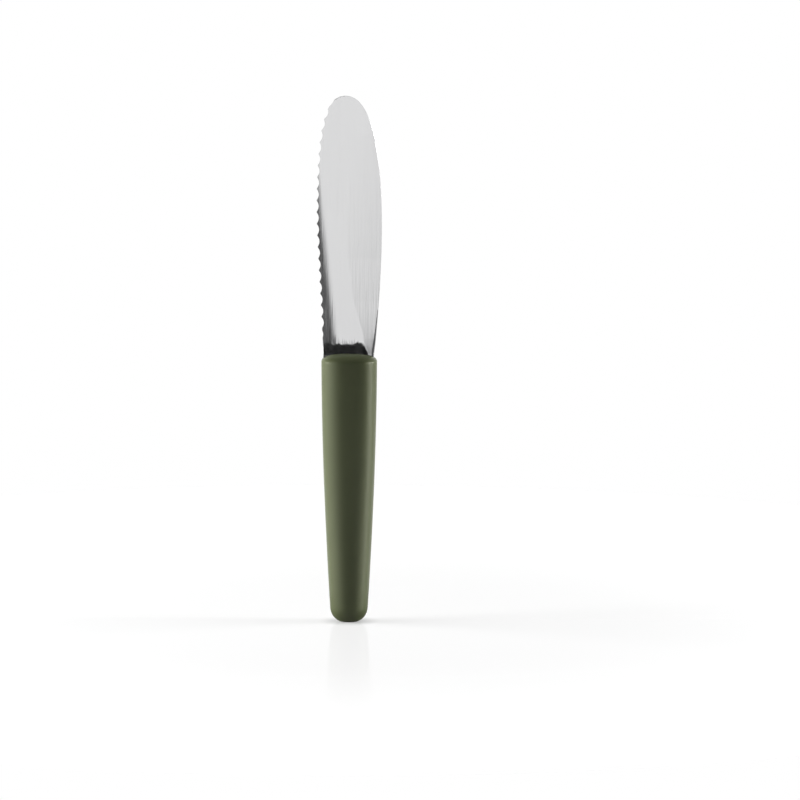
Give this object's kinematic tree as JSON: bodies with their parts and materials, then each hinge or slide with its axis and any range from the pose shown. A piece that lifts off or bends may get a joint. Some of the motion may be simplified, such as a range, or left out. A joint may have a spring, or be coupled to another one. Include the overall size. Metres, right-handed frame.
{
  "type": "butter spreader",
  "caption": "Broad round-tipped steel spreading blade with one scalloped edge, fixed in a tapering matte moulded handle with a rounded butt.",
  "frame": {"origin": "centre of the flat butt face, which the spreader stands on", "axes": "+Z from the butt to the tip of the blade, -X towards the scalloped edge, -Y towards the front face of the blade"},
  "size_m": [0.0294, 0.016, 0.24],
  "materials": {
    "steel": "fine lengthwise satin grind",
    "skin": "fine matte moulded grain",
    "core": "plain moulded"
  },
  "bodies": {
    "root": {"blade": "steel", "core_front": "core", "core_back": "core", "handle_skin": "skin"}
  },
  "joints": []
}
